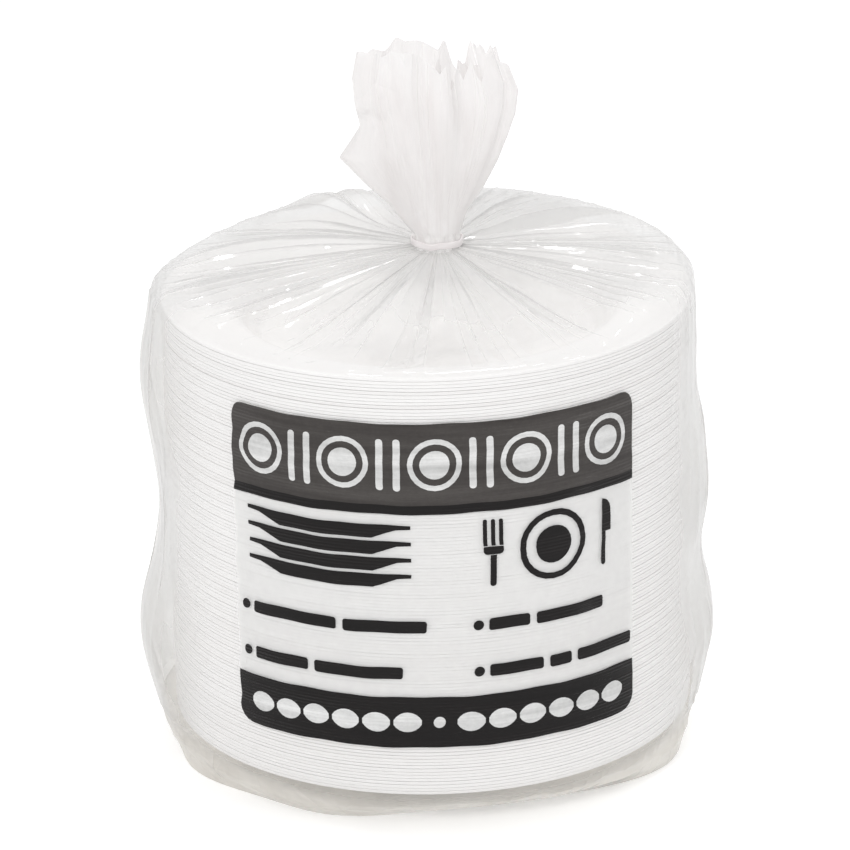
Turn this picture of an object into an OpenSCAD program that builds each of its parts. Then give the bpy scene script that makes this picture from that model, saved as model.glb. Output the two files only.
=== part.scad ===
// A pack of round white plastic plates, nested in a clear film bag.
// The bag is gathered and tied above the stack, and its front carries printed fields.
// Origin: on the floor, on the axis of the stack. The printed front faces -Y.

/* [Plates] */
// Number of plates in the stack
plate_count = 125; // [100:5:150]
// Outer diameter of a plate
plate_d = 152.4; // [140:0.2:180]
// Height of a plate, from its foot to the top of its rim
plate_depth = 14; // [12:0.5:18]
// Thickness of the sheet that the plates are formed from
sheet_t = 0.3; // [0.2:0.05:0.4]
// Rise from each plate to the next in the nested stack
pitch = 1.0; // [0.9:0.05:1.3]
// Radius of the flat foot
foot_r = 47; // [40:1:50]
// Slope of the side wall of the well
wall_slope = 58; // [50:1:62]
// Slope of the broad rim
rim_slope = 12; // [8:1:15]
// Radius of the bends at the foot and at the top of the wall
bend_r = 3; // [2:0.5:4]
// Width of the turned-down lip at the edge of the rim
lip_w = 1.0; // [0.8:0.1:1.6]
// Gap between the lips of neighbouring plates
lip_gap = 0.1; // [0.05:0.05:0.2]
// Edge break on the outer corners of the lip
lip_edge = 0.14; // [0.1:0.02:0.2]
// Largest sideways shift of a plate from the axis of the stack
plate_shift = 0.15; // [0:0.05:0.2]

/* [Bag] */
// Thickness of the film in the model
film_t = 0.3; // [0.2:0.05:0.4]
// Clearance between the lips and the film where it is pulled tight
film_gap = 0.2; // [0.2:0.05:0.5]
// Height of the tied neck above the top rim
neck_rise = 14.5; // [12:0.5:20]
// Height of the film above the top rim at the front, where it is pulled down
front_rise = 1.5; // [1:0.1:3]
// Height of the film above the top rim at the sides, where it stands up
side_rise = 6; // [3:0.5:8]
// Radius of the gathered neck
neck_r = 6.6; // [6:0.2:8]
// Offset of the neck to the right of the axis
neck_x = 3.6; // [0:0.2:8]
// Length of the neck
neck_h = 4; // [3:0.5:8]
// Height of the loose mouth above the neck
mouth_h = 51; // [40:1:60]
// Depth of the pleats in the loose mouth, as a share of its radius
mouth_fold = 0.3; // [0.1:0.05:0.35]
// Height of the pleats where the film runs in to the neck
top_fold = 1.5; // [0.5:0.1:2]

/* [Tie] */
// Height of the band around the neck
tie_h = 2.2; // [1.6:0.2:3]
// Thickness of the band
tie_t = 0.6; // [0.4:0.1:1]
// Clearance between the band and the gathered film
tie_gap = 0.15; // [0.1:0.05:0.3]

/* [Print] */
// Width of the printed area, measured around the bag
print_w = 125; // [110:1:130]
// Height of the printed area
print_h = 97; // [90:1:100]
// Turn of the printed area around the axis, to the right
print_turn = 1.2; // [-5:0.1:5]
// Height of the header band
header_h = 23.9; // [20:0.1:28]
// Height of the stripe under the header band
stripe_h = 2.7; // [2:0.1:4]
// Height of the footer band
footer_h = 15.4; // [12:0.1:18]
// Radius of the rounded corners of the bands
corner_r = 4.5; // [2:0.5:6]
// Thickness of one layer of ink
ink_t = 0.1; // [0.08:0.01:0.2]
// Clearance under each layer of ink
ink_gap = 0.06; // [0.04:0.01:0.1]

/* [Hidden] */
plate_r = plate_d / 2;
plates_a_node = 5;
group_count = plate_count / plates_a_node;

function two_digits(n) = n < 10 ? str("00", n) : n < 100 ? str("0", n) : str(n);
function group_name(g) =
  str("plates_", two_digits(g * plates_a_node + 1), "_", two_digits((g + 1) * plates_a_node));
GROUPS = [for (g = [0 : group_count - 1]) group_name(g)];

// Heights of the stack
stack_z = film_t;
lip_h = pitch - lip_gap;
low_lip_z = stack_z + plate_depth - lip_h;
stack_top = stack_z + plate_depth + pitch * (plate_count - 1);

// Outline of a plate, half of its section, as arcs and straight runs
bend_steps = [0 : 0.25 : 1];
top_bend_r = bend_r + sheet_t;
lip_r = plate_r - lip_w;
rim_t = sheet_t / cos(rim_slope);
bend_rise = bend_r * (1 - cos(wall_slope)) + top_bend_r * (cos(rim_slope) - cos(wall_slope));
bend_run = bend_r * sin(wall_slope) + top_bend_r * (sin(wall_slope) - sin(rim_slope));
wall_len = (plate_depth - rim_t - bend_rise - (lip_r - foot_r - bend_run) * tan(rim_slope))
  / (sin(wall_slope) - cos(wall_slope) * tan(rim_slope));
low_centre = [foot_r, bend_r];
top_centre = low_centre + (bend_r + top_bend_r) * [sin(wall_slope), -cos(wall_slope)]
  + wall_len * [cos(wall_slope), sin(wall_slope)];

function low_bend(r) =
  [for (k = bend_steps) low_centre + r * [sin(wall_slope * k), -cos(wall_slope * k)]];
function top_bend(r) =
  [for (k = bend_steps) let (a = wall_slope + (rim_slope - wall_slope) * k)
    top_centre + r * [-sin(a), cos(a)]];
function backwards(list) = [for (k = [len(list) - 1 : -1 : 0]) list[k]];

under_side = concat([[0, 0]], low_bend(bend_r), top_bend(top_bend_r));
upper_side = concat([[0, sheet_t]], low_bend(bend_r - sheet_t), top_bend(top_bend_r + sheet_t));
lip_side = [
  [lip_r, plate_depth - rim_t],
  [lip_r, plate_depth - lip_h],
  [plate_r - lip_edge, plate_depth - lip_h],
  [plate_r, plate_depth - lip_h + lip_edge],
  [plate_r, plate_depth - lip_edge],
  [plate_r - lip_edge, plate_depth],
  [lip_r, plate_depth]
];
plate_outline = concat(under_side, lip_side, backwards(upper_side));

// Film of the bag. A turn is an angle around the axis: 0 is the front and 90 the right side.
turn_count = 72;
turns = [for (k = [0 : turn_count - 1]) 360 * k / turn_count - 180];
tight_r = plate_r + plate_shift + film_gap + film_t;

function swell(x, centre, width) = exp(-pow((x - centre) / width, 2));
function apart(a, b) = (a - b + 540) % 360 - 180;
function from_front(a) = (1 - cos(a)) / 2;
function mix(a, b, k) = a + (b - a) * k;
function heading(a) = [sin(a), -cos(a)];
function total(list, k = 0) = k < len(list) ? list[k] + total(list, k + 1) : 0;

// Where the film meets the floor: lobes as [turn, width of the lobe, size]
floor_base = 62;
FLOOR_LOBES = [
  [-72, 26, 14], [-28, 18, 5], [12, 22, -10], [70, 24, 13], [125, 18, 6], [160, 20, 10], [-140, 24, 9]
];
function floor_r(a) = (plate_r / 76.2) * (floor_base
  + total([for (l = FLOOR_LOBES) l[2] * swell(apart(a, l[0]), 0, l[1])]));

// Slack of the film beyond the stack: [turn, share of the height, width, height, size]
SLACK = [
  [-93, 0.79, 26, 0.17, 5.6], [-95, 0.17, 30, 0.19, 8.4], [-120, 0.45, 18, 0.16, 3.5],
  [88, 0.66, 20, 0.10, 2.6], [92, 0.50, 20, 0.12, 4.4], [94, 0.19, 28, 0.15, 6.4],
  [128, 0.35, 20, 0.20, 4.5], [150, 0.72, 24, 0.16, 3.8], [180, 0.25, 30, 0.18, 5.0],
  [-155, 0.70, 22, 0.18, 4.2], [-165, 0.30, 18, 0.16, 4.0], [115, 0.85, 16, 0.10, 2.5]
];
front_hold = 54;
function hold(a) = let (k = (abs(a) - front_hold) / 20) min(1, max(0, k));
function slack(a, share) = hold(a) * total([
  for (s = SLACK) s[4] * swell(apart(a, s[0]), 0, s[2]) * swell(share, s[1], s[3])
]);
function crimp(a, share) = hold(a) * (0.35 + 0.3 * sin(9 * a + 200 * share)
  + 0.25 * sin(16 * a - 340 * share));
side_z0 = low_lip_z - 0.8;
side_z1 = stack_top + 0.6;
function side_r(a, share) = tight_r + slack(a, share) + max(0, crimp(a, share));

// Rings of points from the middle of the base, up the side and in to the neck
FLOOR_STEPS = [0.4, 0.75, 1];
LOW_STEPS = [0.25, 0.6];
SIDE_STEPS = [0, 0.06, 0.14, 0.22, 0.3, 0.4, 0.5, 0.6, 0.7, 0.8, 0.9, 1];
SHOULDER_STEPS = [0.35, 0.7, 1];
TOP_STEPS = [0.14, 0.3, 0.46, 0.62, 0.78, 0.9];
LOW_NECK_STEPS = [0, 0.5];
MOUTH_STEPS = [0.12, 0.28, 0.44, 0.58, 0.72, 0.86, 1];

function floor_point(a, k, inner) =
  concat(heading(a) * (floor_r(a) - inner * film_t) * k, inner * film_t);
function low_point(a, k, inner) =
  let (r = mix(floor_r(a), side_r(a, 0), pow(sin(90 * k), 0.8)))
  concat(heading(a) * (r - inner * film_t), max(side_z0 * k, inner * film_t));
function side_point(a, k, inner) =
  concat(heading(a) * (side_r(a, k) - inner * film_t), mix(side_z0, side_z1, k));

neck_z = stack_top + neck_rise;
shoulder_run = 3;
shoulder_r = tight_r - shoulder_run;
function shoulder_z(a) = side_z1 + mix(front_rise, side_rise, hold(a * 1.4));
function shoulder_point(a, k, inner) =
  concat(heading(a) * (mix(side_r(a, 1), tight_r, k) - shoulder_run * (1 - cos(90 * k)) - inner * film_t),
    mix(side_z1, shoulder_z(a), sin(90 * k)) - inner * film_t * k);
function neck_ring_r(a) = neck_r + 0.25 * sin(11 * a);
function puff(a, k) = mix(pow(k, 1.15), 1 - pow(1 - k, 2.4), from_front(a));
function pleat(a) = sin(13 * a + 40 * sin(2 * a)) + 0.5 * sin(21 * a + 70);
function top_point(a, k, inner) =
  let (
    spot = heading(a) * (mix(shoulder_r, neck_ring_r(a), k) - inner * film_t * (1 - k))
      + [neck_x * k, 0],
    fold = (top_fold + 0.9 * from_front(a)) * pleat(a) * sin(180 * pow(k, 0.8))
  )
  concat(spot, mix(shoulder_z(a), neck_z - neck_h / 2, puff(a, k)) + fold - inner * film_t);

// The film is bunched solid in the neck, apart from a narrow channel. It is cut across the
// middle of the neck, under the band, so the loose mouth is a solid of its own.
channel_r = 0.8;
neck_cut = 0.1;
HIGH_NECK_STEPS = [0.5 + neck_cut / neck_h, 1];
function neck_point(a, k, inner) =
  concat(heading(a) * (inner == 1 ? channel_r : neck_ring_r(a)) + [neck_x, 0],
    mix(neck_z - neck_h / 2, neck_z + neck_h / 2, k) - inner * film_t * max(0, 1 - 2 * k));

// Half widths of the loose mouth by share of its height, to the left and to the right
LEFT_W = [
  [0, 6.6], [0.12, 11], [0.28, 18], [0.44, 27], [0.58, 20.5], [0.72, 22.5], [0.86, 23], [1, 21.5]
];
RIGHT_W = [
  [0, 6.6], [0.12, 8.5], [0.28, 13.5], [0.44, 17.5], [0.58, 20], [0.72, 22], [0.86, 22.5], [1, 20]
];
HALF_D = [[0, 6.6], [0.12, 6.2], [0.28, 6.5], [0.58, 8], [1, 10]];
mouth_z = neck_z + neck_h / 2;
// The ragged edge of the mouth: [turn, width, height]
EDGE = [
  [-75, 30, 4], [-20, 16, 4.5], [14, 7, -6], [34, 9, -2], [58, 10, 3], [100, 14, -5],
  [135, 14, 3], [160, 10, -6], [-170, 14, 3], [-130, 16, -4]
];
function edge_h(a) = mouth_h + total([for (e = EDGE) e[2] * swell(apart(a, e[0]), 0, e[1])]);
function mouth_fold_at(a, k) = 1 + mouth_fold * (sin(90 * k)
  * (0.7 * sin(9 * a + 30 * k) + 0.45 * sin(14 * a - 50 * k + 40)));
function mouth_point(a, k, inner) =
  let (
    w = (lookup(k, sin(a) < 0 ? LEFT_W : RIGHT_W)) * neck_r / 6.6,
    d = lookup(k, HALF_D) * neck_r / 6.6,
    f = mouth_fold_at(a, k),
    r = norm([w * sin(a), d * cos(a)]),
    thin = (r * f - film_t * inner * 1.4) / (r * f)
  )
  [neck_x + w * sin(a) * mix(1, f, 0.35) * thin, -d * cos(a) * f * thin, mouth_z + edge_h(a) * k];

function bag_rings(inner) = concat(
  [for (k = FLOOR_STEPS) [for (a = turns) floor_point(a, k, inner)]],
  [for (k = LOW_STEPS) [for (a = turns) low_point(a, k, inner)]],
  [for (k = SIDE_STEPS) [for (a = turns) side_point(a, k, inner)]],
  [for (k = SHOULDER_STEPS) [for (a = turns) shoulder_point(a, k, inner)]],
  [for (k = TOP_STEPS) [for (a = turns) top_point(a, k, inner)]],
  [for (k = LOW_NECK_STEPS) [for (a = turns) neck_point(a, k, inner)]]
);
function mouth_rings(inner) = concat(
  [for (k = HIGH_NECK_STEPS) [for (a = turns) neck_point(a, k, inner)]],
  [for (k = MOUTH_STEPS) [for (a = turns) mouth_point(a, k, inner)]]
);
// Point k of a ring, counted with the rings one after the other, and the faces between two rings
function at(ring, k) = ring * turn_count + k % turn_count;
function band_faces(low, high) = [
  for (k = [0 : turn_count - 1])
    each [[at(low, k), at(high, k + 1), at(low, k + 1)], [at(low, k), at(high, k), at(high, k + 1)]]
];

// Print. A place on it is [distance around the bag from its middle line, height above its foot].
print_z = (low_lip_z + stack_top - print_h) / 2 + 1;
panel_r = tight_r + ink_gap;
ink_r = panel_r + ink_t + ink_gap;
shape_r = ink_r + ink_t + ink_gap;
round_face = 120;
header_foot = print_h - header_h;
stripe_foot = header_foot - stripe_h;
picture_z = (stripe_foot + footer_h) / 2 + 15;
BULLET_LINES = [36.6, 22.6];
// Bars of each line: [start of the line, widths of its bars]
BAR_LINES = [
  [[-56, [27, 24]], [14.5, [12, 22]]],
  [[-56, [18, 26]], [14.5, [16, 7, 20]]]
];
bar_h = 3.6;
bar_space = 2;
bullet_r = 1.5;

function arc(centre, r, a0, a1, steps = 4) =
  [for (k = [0 : steps]) let (a = mix(a0, a1, k / steps)) centre + r * [cos(a), sin(a)]];
// Box with its low corners rounded to one radius and its high corners to another
function round_box(x0, y0, x1, y1, low, high) = concat(
  arc([x0 + low, y0 + low], low, 180, 270), arc([x1 - low, y0 + low], low, 270, 360),
  arc([x1 - high, y1 - high], high, 0, 90), arc([x0 + high, y1 - high], high, 90, 180)
);
function disc(x, y, r, steps = 24) =
  [for (k = [0 : steps - 1]) [x, y] + r * [cos(360 * k / steps), sin(360 * k / steps)]];
function moved(points, x, y) = [for (p = points) p + [x, y]];
function bar_start(line, k) =
  line[0] + (k == 0 ? 0 : total([for (j = [0 : k - 1]) line[1][j] + bar_space]));

// A printed field: a flat outline wrapped around the bag as one thin layer.
// A hole is a second outline inside the first.
module printed(points, r, hole = []) {
  flat = [for (p = concat(points, hole)) [ink_r * sin(p[0] / ink_r * 180 / PI), p[1] + print_z]];
  outer = [for (k = [0 : len(points) - 1]) k];
  inner = [for (k = [0 : len(hole) - 1]) len(points) + k];
  rotate([0, 0, print_turn])
    intersection() {
      translate([0, 0, print_z - 1])
        rotate_extrude($fn = round_face) translate([r, 0]) square([ink_t, print_h + 2]);
      rotate([90, 0, 0])
        linear_extrude(height = plate_d)
          polygon(flat, paths = len(hole) > 0 ? [outer, inner] : [outer]);
    }
}

module plate() {
  rotate_extrude($fn = 96) polygon(plate_outline);
}

// Plates of one group, each sitting a little off the axis
module plate_group(g) {
  for (k = [0 : plates_a_node - 1]) {
    n = g * plates_a_node + k;
    color([0.93, 0.93, 0.92])
      translate([plate_shift * sin(137 * n) * 0.7, plate_shift * cos(83 * n) * 0.7, stack_z + n * pitch])
        plate();
  }
}

// Up the outside of the film and down its inside, closed in the middle of the base
module bag() {
  rings = concat(bag_rings(0), backwards(bag_rings(1)));
  top = len(rings) - 1;
  low_middle = len(rings) * turn_count;
  points = concat([for (ring = rings) for (p = ring) p], [[0, 0, 0], [0, 0, film_t]]);
  faces = concat(
    [for (k = [0 : turn_count - 1]) [low_middle, at(0, k), at(0, k + 1)]],
    [for (ring = [0 : top - 1]) each band_faces(ring, ring + 1)],
    [for (k = [0 : turn_count - 1]) [low_middle + 1, at(top, k + 1), at(top, k)]]
  );
  color([0.86, 0.86, 0.87, 0.35]) polyhedron(points, faces, convexity = 12);
}

// Up the outside of the film, over its edge and down its inside to the neck
module bag_mouth() {
  rings = concat(mouth_rings(0), backwards(mouth_rings(1)));
  points = [for (ring = rings) for (p = ring) p];
  faces = [for (ring = [0 : len(rings) - 1]) each band_faces(ring, (ring + 1) % len(rings))];
  color([0.86, 0.86, 0.87, 0.35]) polyhedron(points, faces, convexity = 12);
}

module neck_tie() {
  color([0.9, 0.89, 0.86])
    translate([neck_x, 0, neck_z - tie_h / 2])
      rotate_extrude($fn = 64)
        translate([neck_r + 0.25 + tie_gap, 0]) square([tie_t, tie_h]);
}

module print_panel() {
  color([0.97, 0.97, 0.97, 0.5])
    printed(round_box(-print_w / 2, footer_h, print_w / 2, stripe_foot, 0.2, 0.2), panel_r);
}

module print_header() {
  color([0.3, 0.28, 0.27])
    printed(round_box(-print_w / 2, header_foot, print_w / 2, print_h, 0.2, corner_r), ink_r);
}

module print_stripe() {
  color([0.13, 0.12, 0.12])
    printed(round_box(-print_w / 2, stripe_foot, print_w / 2, header_foot, 0.2, 0.2), ink_r);
}

module print_footer() {
  color([0.13, 0.12, 0.12])
    printed(round_box(-print_w / 2, 0, print_w / 2, footer_h, corner_r, 0.2), ink_r);
}

// Header: plates seen from above, with slim upright bars between them
ring_count = 5;
ring_pitch = 26;
ring_r = 7.6;
module print_header_shapes() {
  middle = header_foot + header_h / 2;
  color([0.86, 0.86, 0.86]) {
    for (k = [0 : ring_count - 1]) {
      x = (k - (ring_count - 1) / 2) * ring_pitch;
      printed(disc(x, middle, ring_r), shape_r, disc(x, middle, ring_r * 0.8));
      printed(disc(x, middle, ring_r * 0.55), shape_r);
    }
    for (k = [0 : ring_count - 2]) {
      x = (k - (ring_count - 2) / 2) * ring_pitch;
      printed(round_box(x - 3.4, middle - ring_r, x - 1.4, middle + ring_r, 0.9, 0.9), shape_r);
      printed(round_box(x + 1.4, middle - ring_r, x + 3.4, middle + ring_r, 0.9, 0.9), shape_r);
    }
  }
}

// Middle: a stack of plates from the side, and a plate between a fork and a knife
PLATE_SIDE = [[-25, 4], [-25, 2.9], [-21, 2.5], [-14, 0], [14, 0], [21, 2.5], [25, 2.9], [25, 4]];
FORK_TINE = round_box(-0.6, 0, 0.6, 8, 0.2, 0.5);
FORK_NECK = round_box(-2.9, -2.6, 2.9, -0.2, 1.2, 0.3);
FORK_HANDLE = round_box(-0.9, -12, 0.9, -2.8, 0.8, 0.1);
KNIFE = concat(arc([-1.2, -11.2], 0.8, 180, 360), [[-0.4, -2], [1.6, -2]], arc([-1.8, 4.6], 3.4, 0, 84));
module print_pictures() {
  color([0.13, 0.12, 0.12]) {
    for (k = [0 : 3]) printed(moved(PLATE_SIDE, -32, picture_z - 9.4 + 4.9 * k), ink_r);
    printed(disc(34, picture_z, 10.4), ink_r, disc(34, picture_z, 8.6));
    printed(disc(34, picture_z, 5.6), ink_r);
    for (k = [-1 : 1]) printed(moved(FORK_TINE, 16 + 2.3 * k, picture_z + 2), ink_r);
    printed(moved(FORK_NECK, 16, picture_z + 2), ink_r);
    printed(moved(FORK_HANDLE, 16, picture_z + 2), ink_r);
    printed(moved(KNIFE, 52, picture_z + 1.6), ink_r);
  }
}

// Lines: each is a round bullet and plain bars
module print_lines() {
  color([0.13, 0.12, 0.12])
    for (row = [0 : 1]) for (line = BAR_LINES[row]) {
      y = BULLET_LINES[row];
      printed(disc(line[0] - 3, y, bullet_r, 20), ink_r);
      for (k = [0 : len(line[1]) - 1]) {
        x = bar_start(line, k);
        printed(round_box(x, y - bar_h / 2, x + line[1][k], y + bar_h / 2, 0.8, 0.8), ink_r);
      }
    }
}

// Footer: a row of pointed leaves, with a dot in its middle
leaf_count = 6;
leaf_pitch = 9;
leaf_l = 3.6;
leaf_h = 3;
module print_footer_shapes() {
  y = footer_h / 2;
  leaf = concat(arc([0, -1.6], 4.6, 150, 30, 8), arc([0, 1.6], 4.6, 330, 210, 8));
  color([0.95, 0.95, 0.95]) {
    printed(disc(0, y, 1.7, 20), shape_r);
    for (side = [-1, 1]) for (k = [1 : leaf_count]) {
      printed(moved(leaf, side * (leaf_pitch * k), y), shape_r);
    }
  }
}

for (g = [0 : group_count - 1])
  plate_group(g);
bag();
bag_mouth();
neck_tie();
print_panel();
print_header();
print_header_shapes();
print_stripe();
print_pictures();
print_lines();
print_footer();
print_footer_shapes();
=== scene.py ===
"""Looks of a pack of white plastic plates in a clear film bag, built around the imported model."""

import math

import bmesh
import bpy
import numpy as np
from mathutils import Matrix, Vector


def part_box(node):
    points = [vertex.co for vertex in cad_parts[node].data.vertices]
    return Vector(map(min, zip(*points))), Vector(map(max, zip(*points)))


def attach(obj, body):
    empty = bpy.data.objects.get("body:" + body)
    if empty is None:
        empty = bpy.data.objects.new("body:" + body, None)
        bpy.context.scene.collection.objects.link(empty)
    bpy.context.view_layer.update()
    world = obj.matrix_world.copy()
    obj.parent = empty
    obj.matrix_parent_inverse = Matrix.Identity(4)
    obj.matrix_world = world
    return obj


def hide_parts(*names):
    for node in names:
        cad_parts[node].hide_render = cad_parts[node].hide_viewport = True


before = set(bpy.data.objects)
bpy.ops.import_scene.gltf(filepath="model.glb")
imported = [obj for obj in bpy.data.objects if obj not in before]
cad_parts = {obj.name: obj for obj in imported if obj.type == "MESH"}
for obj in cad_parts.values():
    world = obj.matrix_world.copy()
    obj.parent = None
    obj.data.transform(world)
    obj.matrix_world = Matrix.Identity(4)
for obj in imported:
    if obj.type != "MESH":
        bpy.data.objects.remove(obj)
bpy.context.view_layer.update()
MM = 0.001

PLATE_GROUPS = sorted(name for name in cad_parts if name.startswith("plates_"))
PRINT_NODES = sorted(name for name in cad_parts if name.startswith("print_"))
TIE_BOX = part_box("neck_tie")

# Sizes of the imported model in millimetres
LIP_RISE = 13.1  # from the foot of a plate to the lower edge of its lip
LOW_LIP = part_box(PLATE_GROUPS[0])[0][2] / MM + LIP_RISE
RIM_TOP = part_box(PLATE_GROUPS[-1])[1][2] / MM
NECK_X = (TIE_BOX[0][0] + TIE_BOX[1][0]) / 2 / MM
NECK_Z = (TIE_BOX[0][2] + TIE_BOX[1][2]) / 2 / MM
NECK_R = 6.6
NECK_H = 4.0
MOUTH_H = 51.0
PITCH = 1.0  # from one rim to the next
TIGHT_R = 76.75  # the film where it is pulled tight over the rims
SIDE_Z0 = LOW_LIP - 0.8
SIDE_Z1 = RIM_TOP + 0.6
SHOULDER_RUN = 3.0  # how far in the film bends over the rim


def swell(x, centre, width):
    """Smooth bump of height 1 around centre."""
    return np.exp(-(((x - centre) / width) ** 2))


def apart(a, b):
    """Signed angle in degrees from b to a."""
    return (a - b + 540) % 360 - 180


def mix(a, b, k):
    return a + (b - a) * k


def smooth(k):
    k = np.clip(k, 0, 1)
    return k * k * (3 - 2 * k)


# Film of the bag. A turn is an angle around the stack: 0 is the front and 90 the right side.
FLOOR_BASE = 62
FLOOR_LOBES = [
    (-72, 26, 14), (-28, 18, 5), (12, 22, -10), (70, 24, 13), (125, 18, 6), (160, 20, 10), (-140, 24, 9),
]
# Slack of the film beyond the stack: turn, share of the height, width, height, size
SLACK = [
    (-93, 0.79, 26, 0.17, 5.6), (-95, 0.17, 30, 0.19, 8.4), (-120, 0.45, 18, 0.16, 3.5),
    (88, 0.66, 20, 0.10, 2.6), (92, 0.50, 20, 0.12, 4.4), (94, 0.19, 28, 0.15, 6.4),
    (128, 0.35, 20, 0.20, 4.5), (150, 0.72, 24, 0.16, 3.8), (180, 0.25, 30, 0.18, 5.0),
    (-155, 0.70, 22, 0.18, 4.2), (-165, 0.30, 18, 0.16, 4.0), (115, 0.85, 16, 0.10, 2.5),
]
FRONT_HOLD = 54
# A tall fold on the top, behind the neck: turn, width, share of the way to the neck, its spread, height
EAR = (-146, 13, 0.42, 0.2, 8.0)
LEFT_W = [(0, 6.6), (0.12, 11), (0.28, 15.5), (0.44, 18.5), (0.58, 20.5), (0.72, 22.5), (0.86, 23), (1, 21.5)]
RIGHT_W = [(0, 6.6), (0.12, 8.5), (0.28, 13.5), (0.44, 17.5), (0.58, 20), (0.72, 22), (0.86, 22.5), (1, 20)]
HALF_D = [(0, 6.6), (0.12, 6.2), (0.28, 6.5), (0.58, 8), (1, 10)]
# A flap that stands out to the left, half way up: turn, width of its turn, how far out at each height
FLAP = (-80, 24, [(0, 0), (0.16, 1.2), (0.43, 9.5), (0.6, 0.6), (0.75, 0), (1, 0)])
# The edge of the mouth, as broad waves and as sharp tears: turn, width, height
EDGE = [
    (-62, 34, 4.5), (-20, 16, 4.0), (14, 7, -6), (34, 9, -2), (58, 10, 3), (100, 14, -5),
    (135, 14, 3), (160, 10, -6), (-165, 16, 3.5), (-125, 20, 2.0),
]
TEARS = [
    (9, 3.5, 5.5), (19, 3, 4), (26, 3, -3), (31, 3.5, 4.5), (41, 4, -3.5), (50, 5, 3.5), (63, 5, -3),
    (-33, 5, 1.6), (-58, 6, -1.5), (171, 4, 5), (158, 4, -4), (147, 4, 4), (134, 4, -3.5), (118, 5, 3),
    (-152, 5, 2), (-118, 6, -2.5),
]


def table(k, pairs):
    """Straight-line lookup in a short table."""
    return np.interp(k, [p[0] for p in pairs], [p[1] for p in pairs])


def hold(a):
    """0 where the film is pulled tight across the front, 1 around the rest."""
    return np.clip((np.abs(apart(a, 0)) - FRONT_HOLD) / 20, 0, 1)


def loosen(lift, a):
    """Folds of the film over the stack: pressed flat where it is pulled tight, and standing off elsewhere."""
    return lift * mix(0.01, 0.9, hold(a)) + 0.6 * hold(a)


def floor_r(a):
    return FLOOR_BASE + sum(size * swell(apart(a, turn), 0, width) for turn, width, size in FLOOR_LOBES)


def slack(a, share):
    lobes = (
        size * swell(apart(a, turn), 0, width) * swell(share, at, height)
        for turn, at, width, height, size in SLACK
    )
    return hold(a) * sum(lobes)


def side_radius(a, share):
    return TIGHT_R + slack(a, share)


def around(r, a, x0=0.0):
    """Place at radius r and turn a, as x and y."""
    t = np.radians(a)
    return x0 + r * np.sin(t), -r * np.cos(t)


class Creases:
    """Fold lines that run up the film. Each fades in and out along its length and wanders a little."""

    KNOT = 16.0  # millimetres between the places where a crease changes
    PROFILE = ((0.0, 1.0), (0.09, 0.1), (0.5, -0.25), (0.91, 0.1))  # place in the gap to the next, height

    def __init__(self, count, length, seed):
        rng = np.random.default_rng(seed)
        knots = int(length / self.KNOT) + 2
        self.count = count
        self.knots = np.arange(knots) * self.KNOT
        step = 360.0 / count
        self.home = (np.arange(count) + rng.uniform(-0.24, 0.24, count)) * step - 180
        power = rng.uniform(0.2, 1.0, count) ** 1.3
        rise = rng.uniform(-0.15, 1.0, (knots, count))
        self.rise = (rise + np.roll(rise, 1, 0)) / 2 * power * 1.5
        self.facet = rng.uniform(-1, 1, (knots, count)) * 0.2
        wander = np.cumsum(rng.uniform(-1, 1, (knots, count)), 0)
        self.wander = (wander - wander.mean(0)) / (np.abs(wander).max(0) + 1e-6) * 0.2 * step

    def grid(self, along, wander_share):
        """Turns and heights of each column at each distance along the film."""
        def at(values):
            return np.stack([np.interp(along, self.knots, values[:, j]) for j in range(self.count)], 1)

        home = self.home + at(self.wander) * wander_share[:, None]
        rise, facet = at(self.rise), at(self.facet)
        following = np.roll(home, -1, 1)
        following[:, -1] += 360
        turns, heights = [], []
        for place, height in self.PROFILE:
            turns.append(mix(home, following, place))
            if place == 0.5:
                heights.append(facet)
            else:
                heights.append(height * (rise if place < 0.5 else np.roll(rise, -1, 1)))
        shape = (len(along), self.count * len(self.PROFILE))
        return np.stack(turns, 2).reshape(shape), np.stack(heights, 2).reshape(shape)


def noise_grid(rows, cols, seed, octaves=((6, 10, 1.0), (14, 26, 0.5), (30, 60, 0.25)), crisp=False, twist=0.0):
    """Noise that closes around the columns: soft swells, or flat facets with crisp lines between them.
    twist is how many times its lines run around from the first row to the last."""
    rng = np.random.default_rng(seed)
    out = np.zeros((rows, cols))
    v = np.linspace(0, 1, rows)[:, None]
    u = np.linspace(0, 1, cols, endpoint=False)[None, :]
    for across, around_count, weight in octaves:
        cells = rng.uniform(-1, 1, (across + 2, around_count))
        y = v * across + 0.35 * np.sin(2 * math.pi * (3 * u + 2 * v))
        y = np.clip(y, 0, across)
        x = (u + twist * v + 0.4 / around_count * np.sin(40 * v)) % 1 * around_count
        y0, x0 = np.floor(y).astype(int), np.floor(x).astype(int)
        fy, fx = y - y0, x - x0
        if not crisp:
            fy, fx = smooth(fy), smooth(fx)
        a = cells[y0, x0 % around_count]
        b = cells[y0, (x0 + 1) % around_count]
        c = cells[y0 + 1, x0 % around_count]
        d = cells[y0 + 1, (x0 + 1) % around_count]
        out += weight * mix(mix(a, b, fx), mix(c, d, fx), fy)
    return out


# Zones of the film, from the middle of the base to the edge of the mouth: rows and length in mm
ZONES = [("floor", 6, 62), ("low", 16, 20), ("side", 92, 126), ("shoulder", 14, 8), ("top", 66, 68),
         ("neck", 8, NECK_H), ("mouth", 56, MOUTH_H)]
FAN = 0.12  # share of the way to the edge of the floor that one fan of faces fills
CREASE_COUNT = 84
WANDER = {"floor": 0.2, "neck": 0.3, "mouth": 0.7}  # how freely the creases wander, 1 in the other zones


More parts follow.
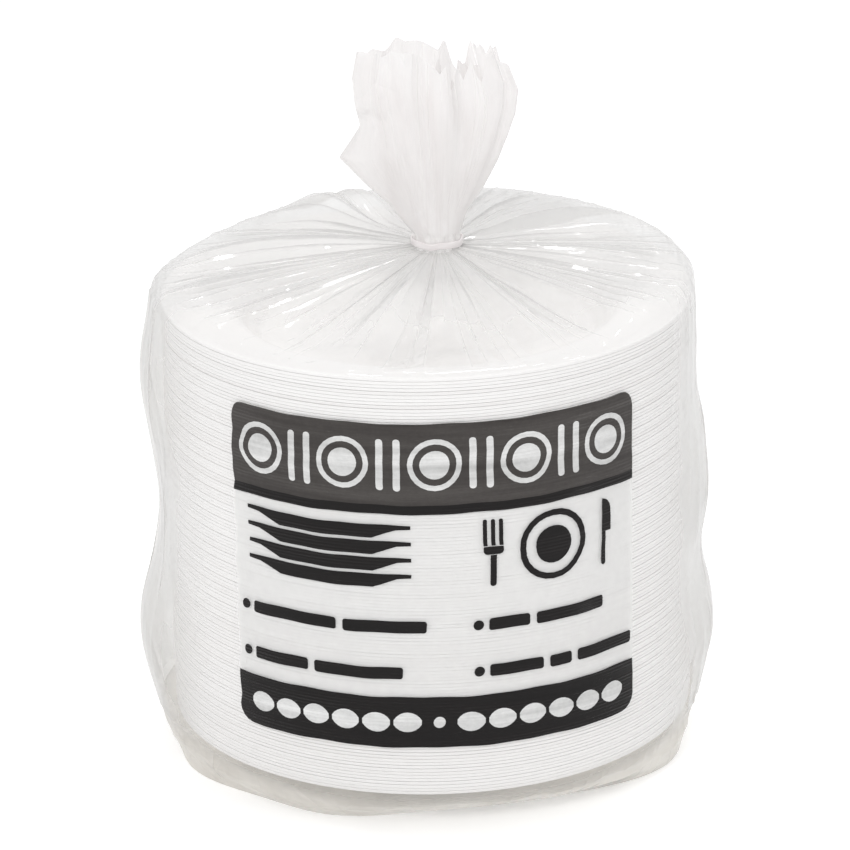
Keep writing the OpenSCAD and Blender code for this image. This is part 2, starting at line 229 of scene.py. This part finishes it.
def zone_rows():
    """Zone name, share of the zone and distance along the film, for each row."""
    rows, start = [], 0.0
    for name, count, length in ZONES:
        first = FAN if name == "floor" else 1 / count
        for k in np.linspace(first, 1, count):
            rows.append((name, k, start + k * length))
        start += length
    return rows, start


def film_places(a, d, c, b, name, k):
    """Points of one row: turns a, zone and share of the zone.
    The heights of creases d, crumples c and broad folds b are in mm."""
    if name == "floor":
        x, y = around(floor_r(a) * k, a)
        return x, y, np.zeros_like(a)
    if name == "low":
        r = mix(floor_r(a), side_radius(a, 0), np.sin(math.pi / 2 * k) ** 0.8)
        r = r + (0.25 * d + 1.2 * c + b) * math.sin(math.pi * k)
        x, y = around(r, a)
        return x, y, np.full_like(a, SIDE_Z0 * k)
    if name == "side":
        ends = max(smooth(1 - k * 8), smooth((k - 0.9) * 10))
        lift = loosen(d * mix(0.3, 0.6, ends) + c * mix(0.12, 0.4, ends) + 1.25 * b, a)
        x, y = around(side_radius(a, k) + np.maximum(lift, -0.05), a)
        return x, y, np.full_like(a, mix(SIDE_Z0, SIDE_Z1, k))
    shoulder_z = SIDE_Z1 + mix(1.3, 6.0 - 3.5 * swell(apart(a, -112), 0, 38), hold(a * 1.4))
    if name == "shoulder":
        r = mix(side_radius(a, 1), TIGHT_R, k) - SHOULDER_RUN * (1 - math.cos(math.pi / 2 * k))
        lift = loosen(0.6 * d + 0.35 * c + b, a) * (1 - k)
        z = mix(SIDE_Z1, shoulder_z, math.sin(math.pi / 2 * k)) + 0.7 * np.maximum(d + 0.4 * c, -0.5) * k
        x, y = around(r + np.maximum(lift, -0.05), a)
        return x, y, z
    neck_low = NECK_Z - NECK_H / 2
    ring = NECK_R + 0.25 * np.sin(np.radians(11 * a))
    if name == "top":
        x, y = around(mix(TIGHT_R - SHOULDER_RUN, ring, k), a, NECK_X * k)
        ledge = 0.16 + 0.05 * np.sin(np.radians(7 * a + 50)) + 0.035 * d
        rise = np.where(k < ledge, 0.05 * k / ledge, 0.05 + 0.95 * (k - ledge) / (1 - ledge))
        behind = (1 - np.cos(np.radians(a))) / 2
        puff = mix(rise ** 1.05, 1 - (1 - k) ** 2.4, smooth(behind * 1.5 - 0.15))
        pleat = np.sin(np.radians(13 * a + 40 * np.sin(np.radians(2 * a)))) + 0.5 * np.sin(np.radians(21 * a + 70))
        strength = 0.75 + 0.45 * np.sin(np.radians(3 * a + 100)) + 0.3 * np.sin(np.radians(5 * a + 200))
        fold = (1.2 + 0.9 * behind) * strength * pleat * math.sin(math.pi * k ** 0.8)
        edge = mix(0.9, 1.5, smooth(k * 6)) * mix(1.0, 0.5, smooth((k - 0.5) * 2))
        turn, width, at, spread, size = EAR
        fold = fold + size * swell(apart(a, turn), 0, width) * swell(k, at, spread)
        z = mix(shoulder_z, neck_low, puff) + fold + d * edge + c * mix(0.4, 0.15, smooth(k * 3))
        return x, y, np.maximum(z, RIM_TOP + 0.4)
    if name == "neck":
        x, y = around(ring + 0.2 * d, a, NECK_X)
        return x, y, np.full_like(a, mix(neck_low, NECK_Z + NECK_H / 2, k))
    return mouth_places(a, d, k)


def mouth_places(a, d, k, shrink=1.0, drop=0.0):
    """Points of one row of the loose mouth, or of a fold inside it."""
    t = np.radians(a)
    w = np.where(np.sin(t) < 0, table(k, LEFT_W), table(k, RIGHT_W)) * mix(1.0, shrink, smooth(k * 4))
    deep = table(k, HALF_D) * mix(1.0, shrink, smooth(k * 4))
    fold = 1 + mix(0.12, 0.26, smooth(k * 1.6 - 0.5)) * math.sin(math.pi / 2 * k) * (
        0.7 * np.sin(np.radians(9 * a + 30 * k)) + 0.45 * np.sin(np.radians(14 * a - 50 * k + 40))
    )
    fold = fold + mix(0.012, 0.04, smooth(k * 1.5 - 0.4)) * d * smooth(k * 3)
    edge = MOUTH_H - drop + sum(size * swell(apart(a, turn), 0, width) for turn, width, size in EDGE)
    tears = sum(size * np.maximum(0, 1 - np.abs(apart(a, turn)) / width / 1.3) for turn, width, size in TEARS)
    x = w * np.sin(t) * mix(1.0, fold, 0.2)
    turn, width, reach = FLAP
    out = table(k, reach) * swell(apart(a, turn), 0, width) * shrink
    height = edge * k + tears * k ** 4
    return NECK_X + x + out * np.sin(t), -deep * np.cos(t) * fold, NECK_Z + NECK_H / 2 + height


def add_object(name, data):
    obj = bpy.data.objects.new(name, data)
    bpy.context.scene.collection.objects.link(obj)
    return obj


def grid_mesh(name, points, filled_start=False, looped=False):
    """Piece from rows of points in mm, closed around each row.
    The first row can be filled with a fan of faces, or joined to the last one."""
    rows, cols = points.shape[:2]
    verts = (points.reshape(-1, 3) * MM).tolist()
    row = np.arange(rows if looped else rows - 1)[:, None]
    col = np.arange(cols)[None, :]
    this, following, right = row * cols, (row + 1) % rows * cols, (col + 1) % cols
    corners = [this + col, this + right, following + right, following + col]
    faces = np.stack(corners, 2).reshape(-1, 4).tolist()
    if filled_start:
        middle = len(verts)
        verts.append((0.0, 0.0, float(points[0, 0, 2]) * MM))
        faces += [(middle, (c + 1) % cols, c) for c in range(cols)]
    mesh = bpy.data.meshes.new(name)
    mesh.from_pydata(verts, [], faces)
    mesh.validate()
    return add_object(name, mesh)


def smooth_by_angle(obj, degrees):
    """Smooth shading, with edges sharper than the angle kept crisp."""
    mesh = obj.data
    bm = bmesh.new()
    bm.from_mesh(mesh)
    limit = math.radians(degrees)
    for edge in bm.edges:
        edge.smooth = not (len(edge.link_faces) == 2 and edge.calc_face_angle(0.0) > limit)
    for face in bm.faces:
        face.smooth = True
    bm.to_mesh(mesh)
    bm.free()


def make_film():
    """The one thin sheet of the bag, cut at the band: the bag up to its neck, and the loose mouth."""
    rows, length = zone_rows()
    along = np.array([row[2] for row in rows])
    creases = Creases(CREASE_COUNT, length, seed=11)
    turns, heights = creases.grid(along, np.array([WANDER.get(row[0], 1.0) for row in rows]))
    shape = (len(rows), turns.shape[1])
    heights = heights + 0.12 * noise_grid(*shape, seed=5)
    level = np.array([row[0] in ("floor", "low") or (row[0] == "side" and row[1] < 0.1) for row in rows])[:, None]
    crumples = np.where(
        level,
        noise_grid(*shape, seed=8, octaves=((30, 17, 0.9), (60, 46, 0.25)), crisp=True, twist=1.6),
        noise_grid(*shape, seed=9, octaves=((22, 100, 0.6), (44, 160, 0.5)), crisp=True, twist=-0.35),
    )
    points = np.zeros(shape + (3,))
    broad = 0.9 * noise_grid(*shape, seed=14, octaves=((5, 14, 0.7), (9, 32, 0.45)), twist=0.12)
    for r, (name, k, _) in enumerate(rows):
        x, y, z = film_places(turns[r], heights[r], crumples[r], broad[r], name, k)
        points[r, :, 0], points[r, :, 1], points[r, :, 2] = x, y, z
    cut = [r for r, row in enumerate(rows) if row[0] == "neck" and row[1] >= 0.5][0]
    bag = grid_mesh("bag_film", points[:cut + 1], filled_start=True)
    mouth = grid_mesh("mouth_film", points[cut:])
    for obj in (bag, mouth):
        smooth_by_angle(obj, 30)
    return bag, mouth


def make_inner_fold(name, shrink, drop, turn, seed):
    """A loose fold of film that stands inside the mouth of the bag."""
    count = 40
    along = np.linspace(0.04, 1, 40)
    creases = Creases(count, MOUTH_H, seed)
    turns, heights = creases.grid(along * MOUTH_H, np.full(len(along), 0.8))
    points = np.zeros(turns.shape + (3,))
    for r, k in enumerate(along):
        x, y, z = mouth_places(turns[r], 1.5 * heights[r], k, shrink, drop)
        swing = math.radians(turn) * k
        points[r, :, 0] = NECK_X + (x - NECK_X) * math.cos(swing) - y * math.sin(swing)
        points[r, :, 1] = (x - NECK_X) * math.sin(swing) + y * math.cos(swing)
        points[r, :, 2] = z
    obj = grid_mesh(name, points)
    smooth_by_angle(obj, 28)
    return obj


def make_tie():
    """A flat band around the neck, with soft edges and a slight wave."""
    low, high = TIE_BOX[0][2] / MM, TIE_BOX[1][2] / MM
    inner = NECK_R + 0.4
    outer = (TIE_BOX[1][0] - TIE_BOX[0][0]) / 2 / MM
    mid_r, half_t = (inner + outer) / 2, (outer - inner) / 2
    mid_z, half_h = (low + high) / 2, (high - low) / 2
    rows, cols = 120, 16  # around the neck, and around the band's section
    turns = np.linspace(-180, 180, rows, endpoint=False)
    points = np.zeros((rows, cols, 3))
    for c, t in enumerate(np.linspace(0, 2 * math.pi, cols, endpoint=False)):
        bulge_r = half_t * np.sign(math.cos(t)) * abs(math.cos(t)) ** 0.6
        bulge_z = half_h * np.sign(math.sin(t)) * abs(math.sin(t)) ** 0.4
        wave = 0.18 * np.sin(np.radians(5 * turns)) + 0.1 * np.sin(np.radians(9 * turns + 40))
        x, y = around(mid_r + bulge_r, turns, NECK_X)
        points[:, c, 0], points[:, c, 1], points[:, c, 2] = x, y, mid_z + bulge_z * 0.86 + wave
    obj = grid_mesh("tie_band", points, looped=True)
    for face in obj.data.polygons:
        face.use_smooth = True
    return obj


# Cuts that let the print follow the film: turns in degrees and levels in mm
PRINT_TURNS = np.arange(-52, 55, 1.5)
PRINT_LEVELS = np.arange(30, 128, 3.0)
PRINT_LIFT = 0.17
LAYER_LIFT = 0.05


def make_print(node, layer):
    """A printed field as one thin layer on the film: the outer skin of the node, laid down close to the bag."""
    bm = bmesh.new()
    bm.from_mesh(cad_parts[node].data)

    def out(vector):
        return Vector((vector.x, vector.y, 0)).normalized()

    inner = [f for f in bm.faces if f.normal.dot(out(f.calc_center_median())) < 0.8]
    bmesh.ops.delete(bm, geom=inner, context="FACES")
    bmesh.ops.remove_doubles(bm, verts=bm.verts[:], dist=0.00001)
    upright = [((0, 0, 0), (math.cos(t), math.sin(t), 0)) for t in np.radians(PRINT_TURNS)]
    level = [((0, 0, z * MM), (0, 0, 1)) for z in PRINT_LEVELS]
    for spot, normal in upright + level:
        everything = bm.verts[:] + bm.edges[:] + bm.faces[:]
        bmesh.ops.bisect_plane(bm, geom=everything, dist=1e-7, plane_co=spot, plane_no=normal)
    for v in bm.verts:
        turn, z = math.degrees(math.atan2(v.co.x, -v.co.y)), v.co.z / MM
        edge = float(smooth((-turn - 34) / 12))
        turn += (0.06 + 0.16 * edge) * math.sin(z / 2.6) + (0.04 + 0.1 * edge) * math.sin(z / 1.15 + turn / 9)
        z += 0.12 * math.sin(turn / 3.7 + z / 19) + 0.07 * math.sin(turn / 1.6 + z / 7)
        x, y = around(TIGHT_R + PRINT_LIFT + LAYER_LIFT * layer, turn)
        v.co = (x * MM, y * MM, z * MM)
    for face in bm.faces:
        face.smooth = True
    name = node.replace("print_", "ink_layer_")
    mesh = bpy.data.meshes.new(name)
    bm.to_mesh(mesh)
    bm.free()
    mesh.normals_split_custom_set_from_vertices([out(v.co) for v in mesh.vertices])
    return add_object(name, mesh)


class Nodes:
    """A short way to write the node tree of a material or of the world."""

    def __init__(self, owner, output="OutputMaterial"):
        self.owner = owner
        owner.use_nodes = True
        self.tree = owner.node_tree
        self.tree.nodes.clear()
        self.out = self.add(output)

    def add(self, kind, settings=None, **inputs):
        node = self.tree.nodes.new("ShaderNode" + kind)
        for key, value in (settings or {}).items():
            setattr(node, key, value)
        for key, value in inputs.items():
            self.feed(node.inputs[key.replace("_", " ")], value)
        return node

    def feed(self, socket, value):
        if isinstance(value, bpy.types.NodeSocket):
            self.tree.links.new(value, socket)
        else:
            socket.default_value = value

    def math(self, operation, a, b=0.0, clamp=False):
        node = self.add("Math", {"operation": operation, "use_clamp": clamp})
        self.feed(node.inputs[0], a)
        self.feed(node.inputs[1], b)
        return node.outputs[0]

    def total(self, first, *others):
        for value in others:
            first = self.math("ADD", first, value)
        return first

    def product(self, first, *others):
        for value in others:
            first = self.math("MULTIPLY", first, value)
        return first

    def highest(self, first, *others):
        for value in others:
            first = self.math("MAXIMUM", first, value)
        return first

    def rest(self, value):
        """What is left of 1."""
        return self.math("SUBTRACT", 1.0, value)

    def between(self, value, low, high):
        """0 below low and 1 above high, smooth in between."""
        node = self.add("MapRange", {"interpolation_type": "SMOOTHSTEP"}, Value=value, From_Min=low, From_Max=high)
        return node.outputs[0]

    def ramp(self, value, stops):
        node = self.add("ValToRGB")
        ramp = node.color_ramp
        while len(ramp.elements) > len(stops):
            ramp.elements.remove(ramp.elements[-1])
        while len(ramp.elements) < len(stops):
            ramp.elements.new(1.0)
        for element, (place, colour) in zip(ramp.elements, stops):
            element.position = place
            element.color = (*colour, 1.0)
        self.feed(node.inputs[0], value)
        return node.outputs[0]

    def mix_colour(self, factor, first, second, blend="MIX"):
        node = self.add("Mix", {"data_type": "RGBA", "blend_type": blend})
        for index, value in ((0, factor), (6, first), (7, second)):
            self.feed(node.inputs[index], value)
        return node.outputs[2]

    def mix_shader(self, factor, first, second):
        node = self.add("MixShader")
        for index, value in enumerate((factor, first, second)):
            self.feed(node.inputs[index], value)
        return node.outputs[0]

    def position(self):
        """Object coordinates as x, y and z, in metres."""
        parts = self.add("SeparateXYZ", Vector=self.add("TexCoord").outputs["Object"])
        return parts.outputs[0], parts.outputs[1], parts.outputs[2]

    def place(self, scale):
        """Object coordinates scaled by three factors."""
        return self.add("Mapping", Vector=self.add("TexCoord").outputs["Object"], Scale=scale).outputs[0]

    def noise(self, vector, scale, detail=3.0, rough=0.5):
        return self.add("TexNoise", Vector=vector, Scale=scale, Detail=detail, Roughness=rough).outputs[0]

    def ridges(self, vector, scale, detail):
        """Noise with crisp crests."""
        kind = {"noise_type": "RIDGED_MULTIFRACTAL"}
        return self.add("TexNoise", kind, Vector=vector, Scale=scale, Detail=detail, Roughness=0.5).outputs[0]

    def facets(self, vector, scale):
        """Shallow cones that meet in crisp creases."""
        return self.add("TexVoronoi", Vector=vector, Scale=scale).outputs["Distance"]

    def bump(self, height, strength, distance):
        return self.add("Bump", Height=height, Strength=strength, Distance=distance).outputs[0]

    def plain_view(self):
        """1 on the rays that see the plain white background: from the camera, a gloss or a glass."""
        path = self.add("LightPath").outputs
        return self.highest(path["Is Camera Ray"], path["Is Glossy Ray"], path["Is Transmission Ray"])

    def finish(self, surface):
        self.feed(self.out.inputs["Surface"], surface)
        return self.owner


def new_nodes(name):
    return Nodes(bpy.data.materials.new(name))


def from_axis(n, middle):
    """x, y and the distance from an upright axis at x = middle. The axis is in mm and the results in metres."""
    x, y, _ = n.position()
    x = n.math("SUBTRACT", x, middle * MM)
    return x, y, n.total(n.math("SQRT", n.total(n.product(x, x), n.product(y, y))), 0.0001)


def fold_place(n, along):
    """Place among folds that run in to the neck: the direction from it, and a number along the folds."""
    x, y, reach = from_axis(n, NECK_X)
    return n.add("CombineXYZ", X=n.math("DIVIDE", x, reach), Y=n.math("DIVIDE", y, reach), Z=along).outputs[0]


def film_shader(n, normal, haze, tint, through, gloss, roughness, shade):
    """Clear film: see-through, a little milky, glossy, and denser where it is seen edge on.
    through is the colour seen through it, and shade is the light that it lets through to what is behind it."""
    facing = n.add("LayerWeight", Blend=0.5, Normal=normal).outputs["Facing"]
    depth = n.total(n.rest(facing), 0.05)
    veil = n.math("MINIMUM", n.math("DIVIDE", haze, n.math("POWER", depth, 0.8)), 0.96)
    clear = n.add("BsdfTransparent", Color=through)
    milk = n.add("BsdfDiffuse", Color=tint, Normal=normal)
    glow = n.add("BsdfTranslucent", Color=tint, Normal=normal)
    body = n.mix_shader(veil, clear.outputs[0], n.mix_shader(0.4, milk.outputs[0], glow.outputs[0]))
    shine = n.add("BsdfAnisotropic", Color=(1, 1, 1, 1), Roughness=roughness, Normal=normal)
    edge_on = n.product(n.math("POWER", facing, 5.0), 0.35)
    mirror = n.math("MULTIPLY", n.total(edge_on, 0.036), gloss, clamp=True)
    seen = n.mix_shader(mirror, body, shine.outputs[0])
    passed = n.add("BsdfTransparent", Color=(shade, shade, shade, 1))
    return n.mix_shader(n.add("LightPath").outputs["Is Shadow Ray"], seen, passed.outputs[0])


def bag_material():
    """Film of the bag: folds that run in to the neck, and more haze on the top, low down and where it is slack, with
    painted shade inside the top rim and painted light low down.
    """
    n = new_nodes("clear_film")
    _, depth, z = n.position()
    neck_reach = from_axis(n, NECK_X)[2]
    stack_reach = from_axis(n, 0.0)[2]
    # Parts of the bag, from 0 to 1
    top = n.between(z, (SIDE_Z1 - 3) * MM, (SIDE_Z1 + 4) * MM)
    low = n.rest(n.between(z, 0.006, 0.017))
    loose = n.highest(n.between(stack_reach, 0.0772, 0.0825), low)
    back = n.between(depth, -0.05, -0.02)
    near_neck = n.rest(n.between(neck_reach, 0.008, 0.036))
    # The film inside the top rim, where a grey haze paints the shade of the plate's well.
    inside_rim_shade = n.rest(n.between(stack_reach, 0.062, 0.07))
    # Relief
    folds = n.ridges(fold_place(n, n.product(neck_reach, 9.0)), 7.0, 3.0)
    crinkle = n.math("MINIMUM", n.ridges(n.place((1, 1, 0.6)), 75.0, 1.0), 1.6)
    height = n.total(
        n.product(folds, top, 0.55),
        n.product(crinkle, n.total(n.product(top, 0.25), n.product(loose, 0.16))),
        n.product(n.facets(n.place((1, 1, 1.6)), 62.0), low, 2.6),
    )
    # Haze and colour
    broad = n.noise(n.place((1, 1, 1)), 45.0, 2.0, 0.55)
    haze = n.total(
        n.product(near_neck, top, 0.3), 0.035,
        # Extra grey haze inside the top rim: painted shade of the plate's well under the film.
        n.product(inside_rim_shade, top, 0.15),
        n.product(low, 0.36),
        n.product(n.highest(loose, back), 0.2),
    )
    haze = n.product(haze, n.total(n.product(broad, 0.9), 0.55))
    tint = n.ramp(loose, [(0.0, (0.73, 0.725, 0.72)), (1.0, (0.68, 0.672, 0.66))])
    # Lighter beige tint low down: painted light that lifts the shade under the stack.
    low_painted_light_tint = n.ramp(broad, [(0.35, (0.87, 0.84, 0.79)), (0.65, (0.96, 0.935, 0.885))])
    tint = n.mix_colour(low, tint, low_painted_light_tint)
    through = n.ramp(loose, [(0.0, (0.98, 0.98, 0.98)), (1.0, (0.91, 0.905, 0.895))])
    normal = n.bump(height, 0.8, 0.0009)
    return n.finish(film_shader(n, normal, haze, tint, through, gloss=1.7, roughness=0.075, shade=0.95))


def mouth_material():
    """Bunched film of the mouth: many layers deep, so nearly white, with fine streaks up the folds."""
    n = new_nodes("bunched_film")
    z = n.position()[2]
    streaks = n.noise(fold_place(n, n.product(z, 12.0)), 4.5, 3.0, 0.45)
    crinkle = n.math("MINIMUM", n.ridges(n.place((1, 1, 0.5)), 105.0, 1.0), 1.6)
    patch = n.between(n.noise(n.place((1, 1, 1)), 38.0, 2.0, 0.5), 0.48, 0.62)
    height = n.total(
        n.product(crinkle, 0.5),
        n.product(streaks, 0.3),
        n.product(n.facets(n.place((1, 1, 0.7)), 120.0), patch, 2.4),
    )
    haze = n.product(n.total(n.product(streaks, 0.3), 0.85), 0.88)
    tint = n.ramp(streaks, [(0.25, (0.865, 0.845, 0.84)), (0.5, (0.895, 0.88, 0.876)), (0.75, (0.91, 0.9, 0.896))])
    normal = n.bump(height, 0.5, 0.0009)
    through = (0.98, 0.98, 0.98, 1)
    return n.finish(film_shader(n, normal, haze, tint, through, gloss=2.0, roughness=0.1, shade=0.8))


def tie_material():
    """Pale band: almost solid, with a soft gloss and a faint pink tint."""
    n = new_nodes("tie_band")
    grain = n.noise(n.place((1, 1, 3)), 260.0, 2.0, 0.5)
    tint = n.ramp(grain, [(0.3, (0.8, 0.755, 0.755)), (0.7, (0.86, 0.825, 0.825))])
    normal = n.bump(grain, 0.15, 0.0003)
    surface = n.add("BsdfPrincipled", Roughness=0.3, IOR=1.45, Base_Color=tint, Normal=normal)
    return n.finish(surface.outputs[0])


def plate_material():
    """White formed plastic, darker and lighter in bands from plate to plate: partly a tone that differs at random,
    partly painted shade that makes the lines between the rims uneven.
    """
    n = new_nodes("white_plastic")
    tone_and_shade_bands = n.noise(n.place((0.4, 0.4, 260.0)), 1.0, 3.0, 0.75)
    broad = n.noise(n.place((5, 5, 26)), 1.0, 2.0, 0.5)
    # Darker lips in some bands: painted shade that makes the shaded lines between the plates uneven, over a tone
    # that differs at random.
    shade = n.ramp(tone_and_shade_bands, [(0.3, (0.86, 0.842, 0.832)), (0.46, (0.945, 0.934, 0.926)), (0.75, (0.97, 0.964, 0.958))])
    patches = n.ramp(broad, [(0.35, (0.965, 0.957, 0.95)), (0.65, (1, 1, 1))])
    tone = n.mix_colour(0.6, shade, patches, "MULTIPLY")
    grain = n.noise(n.place((1, 1, 1)), 900.0, 2.0, 0.5)
    rough = n.total(n.product(grain, 0.12), 0.28)
    return n.finish(n.add("BsdfPrincipled", IOR=1.5, Base_Color=tone, Roughness=rough).outputs[0])


def ink_material(name, dark, light):
    """Ink on film pulled over the rims: a faint level line at each rim, and small scuffs."""
    n = new_nodes(name)
    z = n.position()[2]
    patch = n.noise(n.place((18, 18, 260.0)), 1.0, 3.0, 0.6)
    wave = n.math("SINE", n.product(z, 2 * math.pi / (PITCH * MM)))
    height = n.product(n.total(wave, 1.0), n.between(patch, 0.35, 0.75))
    scuffs = n.noise(n.place((1, 1, 1)), 700.0, 3.0, 0.7)
    colour = n.ramp(n.total(n.product(patch, 0.8), n.product(scuffs, 0.2)), [(0.35, dark), (0.68, light)])
    surface = n.add(
        "BsdfPrincipled", Roughness=0.22, IOR=1.5, Specular_IOR_Level=0.16,
        Base_Color=colour, Normal=n.bump(height, 0.35, 0.0003),
    )
    return n.finish(surface.outputs[0])


def haze_material():
    """Thin white ink over the film: it softens the rims behind it."""
    n = new_nodes("ink_haze")
    patch = n.noise(n.place((1, 1, 1)), 90.0, 3.0, 0.6)
    clear = n.add("BsdfTransparent", Color=(1, 1, 1, 1))
    white = n.add("BsdfDiffuse", Color=(0.96, 0.96, 0.955, 1))
    veil = n.total(n.product(patch, 0.16), 0.3)
    return n.finish(n.mix_shader(veil, clear.outputs[0], white.outputs[0]))


def floor_material():
    """White floor that keeps a soft shadow and looks plain white to the camera."""
    n = new_nodes("white_floor")
    grain = n.noise(n.place((1, 1, 1)), 40.0, 2.0, 0.5)
    colour = n.ramp(grain, [(0.0, (0.9, 0.9, 0.9)), (1.0, (0.92, 0.92, 0.92))])
    paper = n.add("BsdfDiffuse", Color=colour)
    glow = n.add("Emission", Color=(1, 1, 1, 1), Strength=0.3)
    both = n.add("AddShader")
    n.feed(both.inputs[0], paper.outputs[0])
    n.feed(both.inputs[1], glow.outputs[0])
    return n.finish(n.mix_shader(n.plain_view(), paper.outputs[0], both.outputs[0]))


def make_stage():
    mesh = bpy.data.meshes.new("floor")
    half = 3.0
    mesh.from_pydata([(-half, -half, 0), (half, -half, 0), (half, half, 0), (-half, half, 0)], [], [(0, 1, 2, 3)])
    floor = add_object("floor", mesh)
    floor.location.z = -0.0001
    mesh.materials.append(floor_material())


def add_lamp(name, place, target, size, power):
    """Soft flat lamp that faces its target."""
    data = bpy.data.lights.new(name, "AREA")
    data.shape = "RECTANGLE"
    data.size, data.size_y = size
    data.energy = power
    lamp = add_object(name, data)
    lamp.location = place
    lamp.rotation_euler = (Vector(target) - Vector(place)).to_track_quat("-Z", "Y").to_euler()


def light_scene():
    world = bpy.data.worlds.new("studio")
    bpy.context.scene.world = world
    n = Nodes(world, "OutputWorld")
    fill = n.add("Background", Color=(1, 1, 1, 1), Strength=0.72)
    white = n.add("Background", Color=(1, 1, 1, 1), Strength=1.0)
    n.finish(n.mix_shader(n.plain_view(), fill.outputs[0], white.outputs[0]))
    middle = (0, 0, 0.09)
    add_lamp("key", (-0.5, -1.0, 0.85), middle, (0.24, 0.24), 4.2)
    add_lamp("side", (1.0, -0.45, 0.45), middle, (0.08, 0.7), 1.4)
    add_lamp("top", (0.15, 0.3, 1.1), middle, (0.5, 0.08), 2.2)


# Camera fitted to the two visible rims of the stack: place and target in metres, roll in degrees, lens in mm
CAM_PLACE = (0.0, -1.2071, 0.5568)
CAM_TARGET = (-0.00087, 0.0, 0.0958)
CAM_ROLL = -1.113
CAM_LENS = 188.05


def make_camera():
    data = bpy.data.cameras.new("camera")
    data.lens = CAM_LENS
    data.sensor_width = 36.0
    camera = add_object("camera", data)
    look = (Vector(CAM_TARGET) - Vector(CAM_PLACE)).to_track_quat("-Z", "Y")
    roll = Matrix.Rotation(math.radians(CAM_ROLL), 4, "Z")
    camera.matrix_world = Matrix.Translation(CAM_PLACE) @ look.to_matrix().to_4x4() @ roll
    bpy.context.scene.camera = camera


def dress_piece(obj, material, slot, *nodes):
    """Gives a piece its material and body, and hides the nodes that it stands for. The slot is not used."""
    obj.data.materials.clear()
    obj.data.materials.append(material)
    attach(obj, "root")
    if nodes:
        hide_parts(*nodes)


def dress_node(name, material):
    """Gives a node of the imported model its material."""
    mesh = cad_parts[name].data
    mesh.materials.clear()
    mesh.materials.append(material)


make_camera()
make_stage()
light_scene()
scene = bpy.context.scene
scene.view_settings.view_transform = "Standard"
scene.cycles.transparent_max_bounces = 20

plastic = plate_material()
for group in PLATE_GROUPS:
    dress_node(group, plastic)

milky = mouth_material()
bag_sheet, mouth_sheet = make_film()
dress_piece(bag_sheet, bag_material(), "bag_film", "bag")
dress_piece(mouth_sheet, milky, "bag_film", "bag_mouth")
dress_piece(make_inner_fold("mouth_fold_1", 0.72, 5.0, 6, 21), milky, "bag_film", "bag_mouth")
dress_piece(make_inner_fold("mouth_fold_2", 0.45, 10.0, -8, 22), milky, "bag_film", "bag_mouth")
dress_piece(make_tie(), tie_material(), "tie_band", "neck_tie")

black = ink_material("ink_black", (0.007, 0.006, 0.006), (0.013, 0.011, 0.011))
grey = ink_material("ink_grey", (0.042, 0.037, 0.035), (0.082, 0.075, 0.071))
silver = ink_material("ink_silver", (0.5, 0.5, 0.495), (0.86, 0.86, 0.855))
# Layer, ink and finish of each printed field
PRINTS = {
    "print_panel": (0, haze_material(), "ink_haze"),
    "print_header": (1, grey, "ink_grey"),
    "print_stripe": (1, black, "ink_black"),
    "print_footer": (1, black, "ink_black"),
    "print_pictures": (1, black, "ink_black"),
    "print_lines": (1, black, "ink_black"),
    "print_header_shapes": (2, silver, "ink_silver"),
    "print_footer_shapes": (2, silver, "ink_silver"),
}
for name in PRINT_NODES:
    layer, ink, finish = PRINTS[name]
    dress_piece(make_print(name, layer), ink, finish, name)
